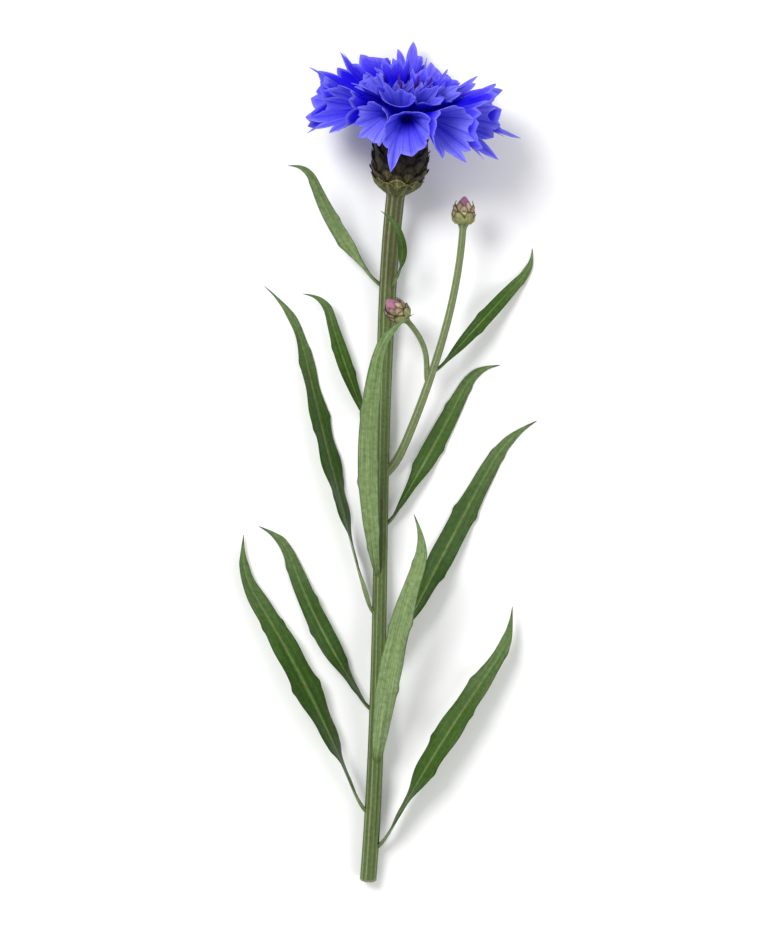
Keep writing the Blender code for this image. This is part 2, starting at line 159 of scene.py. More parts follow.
# Ribs and rows of each stem, the radius of its crown and how pale it is.
STALKS = {
    "stem": dict(ribs=10, rows=240, crown=2.5, light=0.0),
    "shoot_stem": dict(ribs=7, rows=90, crown=1.45, light=1.0),
    "bud_stalk": dict(ribs=5, rows=50, crown=1.4, light=1.0),
}
POINTS_PER_RIB, RIB_HEIGHT, RIB_SINK = 8, 0.055, 0.03
CROWN_REACH, ROOT_REACH, ROOT_FADE, ROOT_SWELL = 0.9, 2.0, 2.4, 0.25
LENGTH_STEPS = 60

TWIST_SHARE = 0.5
HOOK_SHARE = 0.75
STAND_OFF, BLADE_WALL = 0.3, 0.36
PRESS_DEPTH = 1.4
BLADE_FOLD = 0.16
BLADE_ROWS, BLADE_COLUMNS = 90, 17
FOOT_WALL, FOOT_TAPER, FOOT_REACH = 0.7, 0.55, 2.0
TUCK_DEPTH, TUCK_REACH = 0.35, 1.6
FOOT_WALL_WIDTH, FOOT_WALL_REACH = 0.4, 6.0
THIN_WALL, RIB_WALL, RIB_WALL_WIDTH, RIB_THINNING = 0.13, 0.20, 0.16, 0.7
EDGE_WAVE, WAVE_PACE, EDGE_DROOP = 0.10, 0.55, 0.10
GROOVE, GROOVE_WIDTH = 0.10, 0.12
TOOTH_PACE, TOOTH_SIZE = 0.42, 0.13
PALE_TIP, DARK_EDGE = 0.35, 0.7
RIB_WIDTH, VEIN_AT, VEIN_WIDTH, VEIN_SHARE = 0.10, 0.55, 0.06, 0.22
BLADE_TONES = (-0.12, 0.22)
BLADE_OUTLINE = ((0.0, 0.42), (0.15, 0.72), (0.35, 1.0), (0.55, 0.95), (0.75, 0.7), (0.9, 0.36),
                 (1.0, 0.12))
# The outline is smoothed over this share of the length to each side, in so many steps.
OUTLINE_BLUR, BLUR_STEPS, BLUR_SPAN = 0.13, 13, 0.28
POINT_FROM = 0.12
LEAVES = (
    dict(at=0.05, side=8, rise=25, length=60, width=6.2, bend=19, sweep=-10, twist=62, hook=34),
    dict(at=0.10, side=172, rise=26, length=66, width=6.8, bend=20, sweep=14, twist=-62, hook=-40),
    dict(at=0.17, side=80, rise=20, length=56, width=5.2, bend=22, sweep=-20, twist=-34, hook=46),
    dict(at=0.24, side=186, rise=34, length=47, width=4.6, bend=6, sweep=-18, twist=-96, hook=50),
    dict(at=0.30, side=0, rise=25, length=64, width=5.6, bend=18, sweep=-4, twist=74, hook=-30),
    dict(at=0.37, side=166, rise=17, length=76, width=6.4, bend=15, sweep=-4, twist=-52, hook=36),
    dict(at=0.42, side=112, rise=21, length=60, width=4.4, bend=12, sweep=-26, twist=30, hook=-40),
    dict(at=0.49, side=-8, rise=29, length=44, width=4.4, bend=8, sweep=4, twist=80, hook=-56),
    dict(at=0.61, side=176, rise=24, length=36, width=3.4, bend=-6, sweep=-12, twist=-76, hook=70),
    dict(at=0.84, side=66, rise=46, length=21, width=2.0, bend=30, sweep=92, twist=140, hook=0),
    dict(at=0.84, side=178, rise=42, length=34, width=3.2, bend=-20, sweep=-26, twist=100, hook=78),
)
SHOOT_AT = 0.565
SHOOT_RADIUS, SHOOT_TAPER = 0.95, 0.2
STALK_AT, STALK_RADIUS = 0.4, 0.6
STALK_RISE, STALK_LEAN, STALK_REACH = (4.0, 7.0), 2.5, (-3.8, 11.0, 3.4)
SHOOT_BENDS = ((7.0, 17.0, 5.0), (13.5, 34.0, 7.5), (14.5, 52.0, 9.0))
SHOOT_LEAF = dict(at=0.42, side=-30, rise=26, length=36, width=3.2, bend=24, sweep=-4, twist=60,
                  hook=44)
SHOOT_LEAF_SEED = 30

# ---- Colours, linear ----
PETAL_THROAT = (0.006, 0.0, 0.64)
PETAL_MID = (0.017, 0.003, 0.66)
# Painted highlight: the light colour painted towards the lobe tips and tooth edges.
PETAL_HIGHLIGHT = (0.145, 0.115, 0.93)
PETAL_BACK = (0.26, 0.255, 0.93)
# How much each kind of floret is darkened by painted shade, outer kinds first.
FLORET_SHADE = (0.0, 0.05, 0.18, 0.22)
# Florets that are deeper (below 0) or paler than the rest.
TONES = {"ray_floret_12": -0.22, "ray_floret_01": -0.2, "ray_floret_02": -0.18,
         "ray_floret_04": -0.05, "ray_floret_06": -0.1, "ray_floret_08": 0.2,
         "ray_floret_09": 0.3, "ray_floret_10": 0.3}
TONE_SPREAD, TOOTH_TONES = (-0.16, 0.22), 0.12
# Where along a floret the throat gives way, where the painted highlight on the lobe tips sets in,
# and the painted highlight along the rim.
THROAT_END, THROAT_FADE = 0.61, 0.30
HIGHLIGHT_FROM, HIGHLIGHT_FADE = 0.67, 0.33
RIM_FROM, RIM_FADE, RIM_HIGHLIGHT = 0.955, 0.03, 0.5
# Where the brown of the upper stem sets in, and the dark tip of a leaf.
BROWN_FROM, BROWN_FADE, BROWN_SHARE = 0.72, 0.2, 0.7
TIP_FROM, TIP_FADE = 0.955, 0.035
ANTHER_TIP_FROM, ANTHER_TIP_FADE = 0.78, 0.1
ANTHER_DARK, ANTHER_TIP = (0.022, 0.004, 0.20), (0.065, 0.022, 0.34)
BRACT_DARK = (0.006, 0.005, 0.005)
BRACT_BROWN = (0.034, 0.020, 0.014)
BRACT_OLIVE = (0.16, 0.17, 0.055)
BRACT_PALE = (0.42, 0.40, 0.20)
STEM_GREEN = (0.085, 0.13, 0.035)
# The pale colour of the young shoots, also used as a painted highlight on the stem's ridges.
STEM_PALE_AND_HIGHLIGHT = (0.33, 0.37, 0.20)
STEM_BROWN = (0.075, 0.065, 0.025)
PITH = (0.55, 0.58, 0.38)
LEAF_DARK = (0.009, 0.040, 0.001)
LEAF_MID = (0.048, 0.110, 0.008)
LEAF_RIB = (0.20, 0.29, 0.08)
LEAF_UNDER = (0.20, 0.275, 0.12)
LEAF_TIP = (0.06, 0.035, 0.03)
BUD_PINK = (0.36, 0.15, 0.23)
# For each row of scales, inner first: foot, middle, margin and rib.
HEAD_PALETTE = (
    (BRACT_BROWN, (0.022, 0.014, 0.022), BRACT_DARK, BRACT_BROWN),
    (BRACT_BROWN, (0.020, 0.014, 0.014), BRACT_DARK, BRACT_BROWN),
    ((0.050, 0.042, 0.020), (0.030, 0.022, 0.013), BRACT_DARK, (0.08, 0.075, 0.03)),
    ((0.080, 0.078, 0.025), (0.045, 0.036, 0.015), BRACT_DARK, BRACT_OLIVE),
    ((0.110, 0.120, 0.038), (0.055, 0.054, 0.018), (0.20, 0.19, 0.075), BRACT_PALE),
)
BUD_PALETTE = (
    (BRACT_OLIVE, (0.38, 0.27, 0.19), BRACT_BROWN, BRACT_PALE),
    ((0.30, 0.32, 0.12), (0.34, 0.33, 0.15), (0.06, 0.04, 0.02), BRACT_PALE),
)

# ---- Surfaces ----
# Each has the stretch of its streaks along the grain and their contrast, its roughness, the
# strength and depth of its relief, the scale and contrast of its flecks, the weight and tint
# of its sheen, the weight and reach of the light inside it, and its gloss.
PETAL_LOOK = dict(stretch=(0.05, 1.25, 1.0), contrast=0.34, roughness=0.5, bump=(0.6, 0.12),
                  fleck=(900.0, 0.08), sheen=(0.0, (0.4, 0.4, 1.0, 1.0)), gloss=0.07)
LOOKS = {
    "petal": dict(PETAL_LOOK, inside=(0.12, (0.15, 0.15, 0.7))),
    "petal_heart": dict(PETAL_LOOK, inside=(0.1, (0.15, 0.15, 0.6))),
    "bract": dict(
        stretch=(0.5, 2.5, 1.0), contrast=0.4, roughness=0.55, bump=(0.6, 0.12),
        fleck=(1500.0, 0.3), sheen=(0.03, (0.9, 0.85, 0.8, 1.0)), gloss=0.1,
        inside=(0.0, (0.2, 0.2, 0.2))),
    "stem": dict(
        stretch=(0.07, 1.1, 1.0), contrast=0.22, roughness=0.6, bump=(0.6, 0.14),
        fleck=(1400.0, 0.2), sheen=(0.15, (0.9, 1.0, 0.8, 1.0)), gloss=0.2,
        inside=(0.1, (0.3, 0.5, 0.15))),
    "leaf": dict(
        stretch=(0.06, 3.0, 1.0), contrast=0.36, roughness=0.5, bump=(0.7, 0.16),
        fleck=(1100.0, 0.26), sheen=(0.06, (0.9, 1.0, 0.7, 1.0)), gloss=0.22,
        inside=(0.08, (0.3, 0.5, 0.1))),
    "bud_heart": dict(
        stretch=(0.5, 3.0, 1.0), contrast=0.25, roughness=0.55, bump=(0.5, 0.1),
        fleck=(1200.0, 0.2), sheen=(0.1, (1.0, 0.9, 0.95, 1.0)), gloss=0.2,
        inside=(0.1, (0.4, 0.2, 0.2))),
}
SHEEN_ROUGHNESS, ROUGHNESS_SPREAD = 0.45, 0.08
STREAK_RANGE, NOISE_RANGE = (0.28, 0.72), (0.3, 0.7)
SHARP_ANGLE = 62.0

# ---- The studio ----
AMBIENT = 0.55
LIGHTS = (("key", (-0.32, 0.30, 0.62), 0.35, 4.2), ("fill", (0.45, -0.25, 0.55), 0.5, 1.6))
LIGHT_AIM = (0.0, 0.03, 0.01)
FLOOR_CORNERS = ((-3.0, -3.0, 0.0), (3.0, -3.0, 0.0), (3.0, 3.0, 0.0), (-3.0, 3.0, 0.0))
FLOOR_TONE, FLOOR_ROUGHNESS = (0.92, 0.92, 0.92), 0.9
LENS, SENSOR = 100.0, 36.0
VIEW_HEIGHT, FOCUS_SHARE = 0.197, 0.4


def smooth(value):
    """Ease from 0 to 1, flat at both ends."""
    value = np.clip(value, 0.0, 1.0)
    return value * value * (3.0 - 2.0 * value)


def ease(value, start, over):
    """Ease from 0 to 1 as a value goes from a start over a distance."""
    return smooth((value - start) / over)


def bell(value, width):
    """A smooth bump that is 1 at 0."""
    return np.exp(-(value / width) ** 2)


def mix(first, second, share):
    """Blend two colours, or arrays of them, by an array of shares."""
    share = np.asarray(share)[..., None]
    return np.asarray(first) * (1.0 - share) + np.asarray(second) * share


def unit(vectors):
    """Vectors made one long."""
    return vectors / np.maximum(np.linalg.norm(vectors, axis=-1, keepdims=True), 1e-12)


def between(stations, places):
    """Values at places along a list of (place, value) stations."""
    heights, values = zip(*stations)
    return np.interp(places, heights, values)


def rest(points):
    """Ease points that would sink below the surface up to lie just above it."""
    low = points[..., 2] < PRESS_DEPTH
    pressed = PRESS_DEPTH * np.exp(np.minimum(points[..., 2], PRESS_DEPTH) / PRESS_DEPTH - 1.0)
    return np.concatenate([points[..., :2], np.where(low, pressed, points[..., 2])[..., None]], -1)


def bezier(knots, shares):
    """Points of a cubic curve given by its four knots."""
    shares = np.asarray(shares, float)[..., None]
    back = 1.0 - shares
    first, second, third, last = (np.asarray(knot, float) for knot in knots)
    return (first * back ** 3 + second * 3 * back ** 2 * shares
            + third * 3 * back * shares ** 2 + last * shares ** 3)


def head_axis():
    """The direction the flower head faces."""
    rise, lean = math.radians(HEAD_RISE), math.radians(HEAD_LEAN)
    return np.array((math.sin(lean) * math.cos(rise), math.cos(lean) * math.cos(rise),
                     math.sin(rise)))


def stem_knots():
    """The four knots of the stem's curve, from the cut end to the neck."""
    neck = np.array((NECK_SIDE, STEM_LENGTH, NECK_HEIGHT))
    arch = np.array((STEM_SWAY, STEM_LENGTH / 3.0, STEM_ARCH))
    cut = np.array((0.0, 0.0, CUT_RADIUS + CUT_LIFT))
    return cut, arch, neck - head_axis() * NECK_REACH, neck


def stem_radius(share):
    """The stem is thickest under the head and at the cut, slimmest between."""
    low = CUT_RADIUS + (WAIST_RADIUS - CUT_RADIUS) * smooth(share / 0.5)
    return low + (NECK_RADIUS - WAIST_RADIUS) * smooth((share - 0.5) / 0.5)


def frame_at(knots, share):
    """Where a curve is at a share of its length, its direction, side and up."""
    here = bezier(knots, share)
    ahead = unit(bezier(knots, share + STEP) - bezier(knots, share - STEP))
    side = unit(np.cross(ahead, UP))
    return here, ahead, side, np.cross(side, ahead)


def stand_on(point, axis):
    """The placing of a head or bud whose neck is at a point, as a rotation and a move."""
    turn = Vector(axis).to_track_quat("Z", "Y").to_matrix()
    return np.array(turn), np.asarray(point, float)


def placed(placing, points):
    """Points of a head or bud moved to where it stands."""
    turn, move = placing
    return points @ turn.T + move


def cut_end():
    """Where the solid stem's cut end is, in metres."""
    mesh = bpy.data.objects["stem"].data
    points = {tuple(round(value, 7) for value in vertex.co) for vertex in mesh.vertices}
    return np.mean(sorted(points, key=lambda point: point[1])[:CUT_CORNERS], axis=0)


SHIFT = cut_end() - stem_knots()[0] * MM


# ---- Making meshes ----
def grid_normals(grid, around):
    """The normals of a grid of points."""
    along = np.gradient(grid, axis=0)
    if around:
        across = np.roll(grid, -1, 1) - np.roll(grid, 1, 1)
    else:
        across = np.gradient(grid, axis=1)
    return unit(np.cross(across, along))


def strip(lower, upper, around=False):
    """Quads between two rows of vertex numbers."""
    if around:
        lower, upper = np.append(lower, lower[0]), np.append(upper, upper[0])
    return np.stack([lower[:-1], lower[1:], upper[1:], upper[:-1]], -1)


def shell_faces(rows, cols, around):
    """Faces of two facing grids and the walls that join their edges."""
    front = np.arange(rows * cols).reshape(rows, cols)
    back = front + rows * cols
    faces = []
    for row in range(rows - 1):
        faces.append(strip(front[row], front[row + 1], around))
        faces.append(strip(back[row + 1], back[row], around))
    faces.append(strip(front[-1], back[-1], around))
    if not around:
        faces += [strip(back[0], front[0]), strip(front[:, 0][::-1], back[:, 0][::-1]),
                  strip(front[:, -1], back[:, -1])]
    return [tuple(face) for part in faces for face in part.tolist()]


def volume(points, faces):
    """The signed volume inside a closed mesh."""
    total = 0.0
    for size in {len(face) for face in faces}:
        corners = points[np.array([face for face in faces if len(face) == size])]
        for turn in range(1, size - 1):
            sides = np.cross(corners[:, turn], corners[:, turn + 1])
            total += np.einsum("ij,ij->", corners[:, 0], sides)
    return total / 6.0


def piece(name, points, faces, paint, grain, material, node, slot):
    """A finished piece in place of a solid node: points in millimetres, colours and a grain."""
    if volume(points, faces) < 0.0:
        faces = [face[::-1] for face in faces]
    data = bpy.data.meshes.new(name)
    data.from_pydata((points * MM + SHIFT).tolist(), [], faces)
    colours = data.attributes.new("paint", "FLOAT_COLOR", "POINT")
    colours.data.foreach_set("color", np.c_[paint, np.ones(len(paint))].ravel())
    grains = data.attributes.new("grain", "FLOAT_VECTOR", "POINT")
    grains.data.foreach_set("vector", np.ascontiguousarray(grain, float).ravel())
    data.shade_smooth()
    data.set_sharp_from_angle(angle=math.radians(SHARP_ANGLE))
    data.materials.append(material)
    thing = bpy.data.objects.new(name, data)
    bpy.context.collection.objects.link(thing)
    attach(thing, "root")
    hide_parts(node)


def shell(grid, wall, around, paints, grain):
    """Points, faces, colours and grain of a thin closed sheet around a grid."""
    rows, cols = grid.shape[:2]
    size = rows * cols
    half = np.broadcast_to(np.asarray(wall) / 2.0, (rows, cols))[..., None]
    offset = grid_normals(grid, around) * half
    points = np.concatenate([(grid + offset).reshape(-1, 3), (grid - offset).reshape(-1, 3)])
    paint = np.concatenate([side.reshape(-1, 3) for side in paints])
    grain = np.concatenate([grain.reshape(-1, 3)] * 2)
    faces = shell_faces(rows, cols, around)
    if around:
        for start, facing in ((0, 1), (size, -1)):
            loop = list(range(start, start + cols))[::facing]
            points = np.r_[points, points[start:start + cols].mean(0, keepdims=True)]
            paint = np.r_[paint, paint[start:start + 1]]
            grain = np.r_[grain, grain[start:start + 1]]
            centre = len(points) - 1
            faces += [(loop[spot], centre, loop[(spot + 1) % cols]) for spot in range(cols)]
    return points, faces, paint, grain


def solid(grid, paint, grain):
    """A closed solid from rings of points, with a point in the middle of each end."""
    rows, cols = grid.shape[:2]
    numbers = np.arange(rows * cols).reshape(rows, cols)
    faces = [tuple(face) for row in range(rows - 1)
             for face in strip(numbers[row], numbers[row + 1], True).tolist()]
    ends = (grid[0].mean(0), grid[-1].mean(0))
    points = np.concatenate([grid.reshape(-1, 3), ends])
    for loop, centre, facing in ((numbers[0], rows * cols, -1), (numbers[-1], rows * cols + 1, 1)):
        loop = loop[::facing]
        faces += [(int(loop[spot]), int(loop[(spot + 1) % cols]), centre) for spot in range(cols)]
    paint = np.concatenate([paint.reshape(-1, 3), paint[:1, 0], paint[-1:, 0]])
    grain = np.concatenate([grain.reshape(-1, 3), grain[:1, 0], grain[-1:, 0]])
    return points, faces, paint, grain


def joined(parts):
    """Several closed meshes as one."""
    points, faces, paint, grain = [], [], [], []
    start = 0
    for part in parts:
        points.append(part[0])
        faces += [tuple(spot + start for spot in face) for face in part[1]]
        paint.append(part[2])
        grain.append(part[3])
        start += len(part[0])
    return np.concatenate(points), faces, np.concatenate(paint), np.concatenate(grain)


# ---- Florets ----
def fountain(spread, turn, reach):
    """Points of the open flower: the share of the disc, the turn, how far along."""
    sway = 1.0
    for waves, size, phase in SPREAD_WAVES:
        sway = sway + size * np.sin(waves * turn + math.radians(phase))
    angle = math.radians(RIM_SPREAD) * spread ** SPREAD_POWER * sway
    bent = angle * np.clip((reach - TUBE_LENGTH) / BEND_LENGTH, 0.0, 1.0)
    round_off = BEND_LENGTH / angle
    beyond = np.maximum(0.0, reach - TUBE_LENGTH - BEND_LENGTH)
    out = DISC_RADIUS * spread + round_off * (1.0 - np.cos(bent)) + beyond * np.sin(angle)
    rise = np.minimum(reach, TUBE_LENGTH) + round_off * np.sin(bent) + beyond * np.cos(angle)
    height = DISC_TOP + DISC_DOME * (1.0 - spread ** 2) + rise
    return np.stack([out * np.cos(turn), out * np.sin(turn), height + 0.0 * turn], -1)


def squared(value):
    """Push a sine or cosine outwards, for a rounder-cornered cross-section."""
    return np.copysign(np.abs(value) ** (2.0 / SQUARENESS), value)


def ring(kind, chance):
    """Each floret of a kind: the edges of its share of the turn, length, mouth and lobe ends."""
    sizes = kind.get("sizes") or [
        (1.0 + chance.uniform(-SECTOR_SPREAD, SECTOR_SPREAD),
         1.0 + chance.uniform(-LENGTH_SPREAD, LENGTH_SPREAD),
         1.0 + chance.uniform(-MOUTH_SPREAD, MOUTH_SPREAD)) for _ in range(kind["count"])]
    whole = sum(width for width, _, _ in sizes)
    edge = math.radians(kind["turn"])
    for width, longer, wider in sizes:
        edges = (edge, edge + 2.0 * math.pi * width / whole)
        edge = edges[1]
        length = kind["length"] * longer
        tips = [length * chance.uniform(SHORTEST_LOBE, 1.0) for _ in range(kind["lobes"])]
        yield edges, length, kind["mouth"] * wider, tips


def toothed(kind, node, length, tips, chance):
    """How far each tooth of the finished rim reaches, from the ends of the solid lobes."""
    count = kind["teeth"]
    ends = np.array(tips)[np.arange(count) * len(tips) // count]
    ends = ends * chance.uniform(*TOOTH_REACH, count)
    if node in LONG_TEETH:
        tooth, longer = LONG_TEETH[node]
        ends[tooth] = length * longer
    return ends


def floret_grid(kind, edges, length, mouth, tips, chance, rows):
    """The mid-surface of one funnel-shaped floret, and each point's place on it."""
    teeth = len(tips)
    low, high = kind["band"]
    turn, half_turn = (edges[0] + edges[1]) / 2.0, (edges[1] - edges[0]) / 2.0
    centre, half_band = (low + high) / 2.0, (high - low) / 2.0
    leans = chance.uniform(-TOOTH_LEAN, TOOTH_LEAN, teeth)
    curls = chance.uniform(*TOOTH_CURL, teeth)
    notches = length * (1.0 - LOBE_SHARE * chance.uniform(*NOTCH_DEPTH, teeth))
    spots = np.arange(teeth * TOOTH_COLUMNS)
    tooth = spots // TOOTH_COLUMNS
    place = 2.0 * (spots % TOOTH_COLUMNS) / TOOTH_COLUMNS - 1.0
    notch = np.where(place < 0.0, notches[tooth], notches[(tooth + 1) % teeth])
    edge = notch + (tips[tooth] - notch) * (1.0 - np.abs(place)) ** chance.uniform(*TOOTH_POINT)
    along = np.linspace(0.0, 1.0, rows)[:, None] ** ROW_PACE
    reach = along * edge
    foot = length * (1.0 - LOBE_SHARE) * TEETH_FROM
    tall = np.clip((reach - foot) / (length - foot), 0.0, 1.0)
    past_tube = reach - TUBE_LENGTH
    flare = np.clip(past_tube / (length - TUBE_LENGTH), 0.0, 1.0)
    radius = kind["tube"] + (mouth - kind["tube"]) * flare ** FLARE_POWER
    pinch = np.abs(place) ** PINCH_POWER * ease(past_tube, PINCH_FROM, PINCH_OVER)
    crease = bell(place, CREASE_WIDTH) * smooth(past_tube / CREASE_OVER)
    radius = radius * (1.0 - PINCH * pinch) * (1.0 + CREASE * crease)
    radius = radius * (1.0 + curls[tooth] * tall ** FLARE_CURL)
    way = math.pi * (2.0 * tooth + 0.5 + place) / teeth
    way = way + leans[tooth] * tall ** 2 * (1.0 - NOTCH_GRIP * np.abs(place))
    turns = turn + 0.0 * reach
    middle = fountain(centre, turns, reach)
    across = half_turn * np.hypot(middle[..., 0], middle[..., 1])
    painted_shade = fountain(high, turns, reach) - fountain(low, turns, reach)
    painted_shade = np.linalg.norm(painted_shade, axis=-1) / 2.0
    room = 1.0 + TEETH_ROOM * tall
    aside = squared(np.cos(way)) * np.minimum(radius / across, SECTOR_FILL * room)
    out = squared(np.sin(way)) * np.minimum(radius / painted_shade, kind["fill"] * room)
    grid = fountain(centre + half_band * out, turn + half_turn * aside, reach)
    places = dict(reach=reach, along=along + 0.0 * reach, tall=tall, place=place + 0.0 * reach,
                  tooth=tooth + 0.0 * reach, length=length)
    return grid, places


def petal_paint(places, chance, painted_shade, tone):
    """Colours of a floret's outer and inner faces: a deep throat, painted highlights towards the
    lobe tips and along the rim, and painted shade on the inner kinds.
    """
    tall, place = places["tall"], np.abs(places["place"])
    tooth = places["tooth"].astype(int)
    tone = tone + chance.uniform(-TOOTH_TONES, TOOTH_TONES, tooth.max() + 1)[tooth]
    rise = smooth((places["reach"] - TUBE_LENGTH) / (places["length"] - TUBE_LENGTH))
    # Painted highlight: the last share of each tooth's length is painted paler along the rim.
    rim_highlight = RIM_HIGHLIGHT * ease(places["along"], RIM_FROM, RIM_FADE) * ease(rise, 0.5, 0.3)
    inner = mix(PETAL_THROAT, PETAL_MID, ease(rise + 0.6 * tone, THROAT_END, THROAT_FADE))
    # Painted highlight: the inner face is painted lighter towards the lobe tips and the tooth
    # edges.
    light = np.clip(0.8 * tall ** 1.2 + 0.3 * place ** 4 * tall + tone, 0.0, 1.0)
    inner = mix(inner, PETAL_HIGHLIGHT, light * ease(rise + 0.4 * tone, HIGHLIGHT_FROM, HIGHLIGHT_FADE))
    inner = mix(inner, PETAL_BACK, rim_highlight)
    outer = mix(PETAL_MID, PETAL_BACK, np.clip(0.7 * rise + tone, 0.0, 1.0))
    outer = mix(outer, PETAL_MID, 0.5 * bell(place, 0.2))
    outer = mix(outer, PETAL_BACK, rim_highlight)
    # Painted shade: the inner kinds of floret, deeper in the head, are darkened as a whole.
    return outer * (1.0 - painted_shade), inner * (1.0 - painted_shade)


def anthers(kind, edges, length, order):
    """The dark column that stands out of a disc floret."""
    turns = np.linspace(0.0, 2.0 * math.pi, ANTHER_SIDES, endpoint=False)[None, :]
    shares = np.linspace(0.0, 1.0, ANTHER_ROWS)[:, None]
    reach = ANTHER_FOOT * length + (ANTHER_TOP - ANTHER_FOOT) * length * shares + 0.0 * turns
    centre = sum(kind["band"]) / 2.0
    turn = sum(edges) / 2.0
    middle = fountain(centre, turn + 0.0 * reach, reach)
    out = fountain(centre + STEP, turn + 0.0 * reach, reach) - middle
    aside = fountain(centre, turn + STEP + 0.0 * reach, reach) - middle
    collar = COLLAR * bell(shares - COLLAR_AT, COLLAR_WIDTH)
    radius = ANTHER_RADIUS * (1.0 - ANTHER_TAPER * shares ** 3) * (1.0 + collar)
    spokes = unit(out) * np.cos(turns)[..., None] + unit(aside) * np.sin(turns)[..., None]
    grid = middle + spokes * radius[..., None]
    paint = mix(ANTHER_DARK, ANTHER_TIP,
                ease(shares + 0.0 * turns, ANTHER_TIP_FROM, ANTHER_TIP_FADE))
    grain = np.stack([reach, 2.0 * turns + 0.0 * reach, 0.0 * reach + 3.0 * order], -1)
    return solid(grid, paint, grain)


def florets(material, heart):
    """Every floret, one piece for each, in the same uneven shares as the solid ones."""
    placing = stand_on(stem_knots()[3], head_axis())
    shares = random.Random(FLORET_SEED)
    for order, (name, kind) in enumerate(FLORETS.items()):
        large = name in LARGE_KINDS
        for spot, (edges, length, mouth, tips) in enumerate(ring(kind, shares)):
            chance = np.random.default_rng(100 * order + spot + 5)
            node = f"{name}_{spot + 1:02d}"
            tips = toothed(kind, node, length, tips, chance)
            grid, places = floret_grid(kind, edges, length, mouth, tips, chance,
                                       LARGE_ROWS if large else SMALL_ROWS)
            grid = rest(placed(placing, grid))
            # Far-apart offsets keep the streaks of neighbouring teeth and florets unlike.
            grain = np.stack([places["reach"], places["place"] * 3.0 + places["tooth"] * 7.0,
                              np.full_like(places["reach"], 13.7 * spot + 91.0 * order)], -1)
            tone = TONES.get(node, chance.uniform(*TONE_SPREAD))
            paints = petal_paint(places, chance, FLORET_SHADE[order], tone)
            parts = [shell(grid, PETAL_WALL, True, paints, grain)]
            if not large:
                points, faces, paint, grain = anthers(kind, edges, length, spot)
                parts.append((rest(placed(placing, points)), faces, paint, grain))
            piece(f"petals_{node}", *joined(parts), material if large else heart, node,
                  "floret" if large else "floret_heart")


# ---- Bracts ----
def egg_radius(egg, height, rows):
    """The radius at a height, pressed in by the rows of bracts outside."""
    edge = egg["tuck"] * TUCK_EASE
    cover = sum(smooth((top + edge - height) / edge) for _, top in rows)
    return between(egg["outline"], height) - egg["tuck"] * cover


def bract(egg, row, spot, chance, colours, drop):
    """One pointed scale of a row: a curved, fringed blade; drop 1 is the outer half-row."""
    tuck = egg["tuck"]
    low, high = egg["rows"][row]
    fall = HALF_ROW * drop * (high - low)
    tip = high - fall + egg["notch"] * chance.uniform(*SCALE_TIPS)
    low = max(EGG_FOOT, low - fall)
    step = 2.0 * math.pi / egg["count"]
    shares = np.linspace(0.0, 1.0, SCALE_ROWS)[:, None]
    across = np.linspace(-1.0, 1.0, SCALE_COLUMNS)[None, :]
    taper = np.clip((shares - TAPER_FROM) / TAPER_OVER, 0.0, 1.0)
    thread = np.where(np.arange(SCALE_ROWS)[:, None] % THREAD_ROWS == 0, 1.0, THREAD_GAP)
    fringe = 1.0 + FRINGE * thread * ease(shares, FRINGE_FROM, FRINGE_OVER)
    half = SCALE_SPREAD * step * (1.0 - taper ** 1.8) ** 0.85 * fringe + SCALE_POINT
    half = half * chance.uniform(*SCALE_WIDTHS)
    height = low + (tip - low) * shares + 0.0 * across
    stray = chance.uniform(-SCALE_STRAY, SCALE_STRAY)
    turn = step * (spot + 0.5 * ((row + drop) % 2) + stray)
    turn = turn + half * across * (1.0 + SCALE_SKEW * across)
    radius = egg_radius(egg, height, egg["rows"][row + 1:]) + HALF_ROW_STAND * tuck * drop
    bulge = SCALE_BULGE * (1.0 - across ** 2) * np.sin(math.pi * shares) + SCALE_TILT * across
    lift = SCALE_LIFT * ease(shares, 0.75, 0.25) * chance.uniform(0.2, 1.0) * tuck
    radius = radius + (bulge + lift) * tuck
    grid = np.stack([radius * np.cos(turn), radius * np.sin(turn), height], -1)
    margin = np.maximum(ease(np.abs(across), 0.62, 0.25) * ease(shares, 0.35, 0.2),
                        ease(shares, 0.86, 0.1) + 0.0 * across)
    foot_colour, middle_colour, margin_colour, rib_colour = colours
    body = mix(foot_colour, middle_colour, smooth(shares * 1.1) + 0.0 * across)
    body = mix(body, rib_colour, 0.35 * bell(across, 0.13) * (1.0 - margin))
    paint = mix(body, margin_colour, margin * chance.uniform(0.7, 1.0)) * chance.uniform(0.7, 1.2)
    grain = np.stack([height, turn * 6.0, np.full_like(height, 3.1 * spot + 17.0 * row)], -1)
    wall = egg["wall"] * (1.0 - SCALE_THINNING * np.abs(across)) + 0.0 * shares
    return shell(grid, wall, False, (paint, paint), grain)


def bract_rows(name, nodes, egg, placing, palette, material):
    """Every row of scales round a head or a bud, one piece for each row."""
    for row in range(len(egg["rows"])):
        chance = np.random.default_rng(40 + row)
        scales = [bract(egg, row, spot, chance, palette[row], drop)
                  for drop in range(egg["whorls"]) for spot in range(egg["count"])]
        points, faces, paint, grain = joined(scales)
        piece(f"{name}_scales_{row + 1}", placed(placing, points), faces, paint, grain, material,
              f"{nodes}_{row + 1}", "bract")


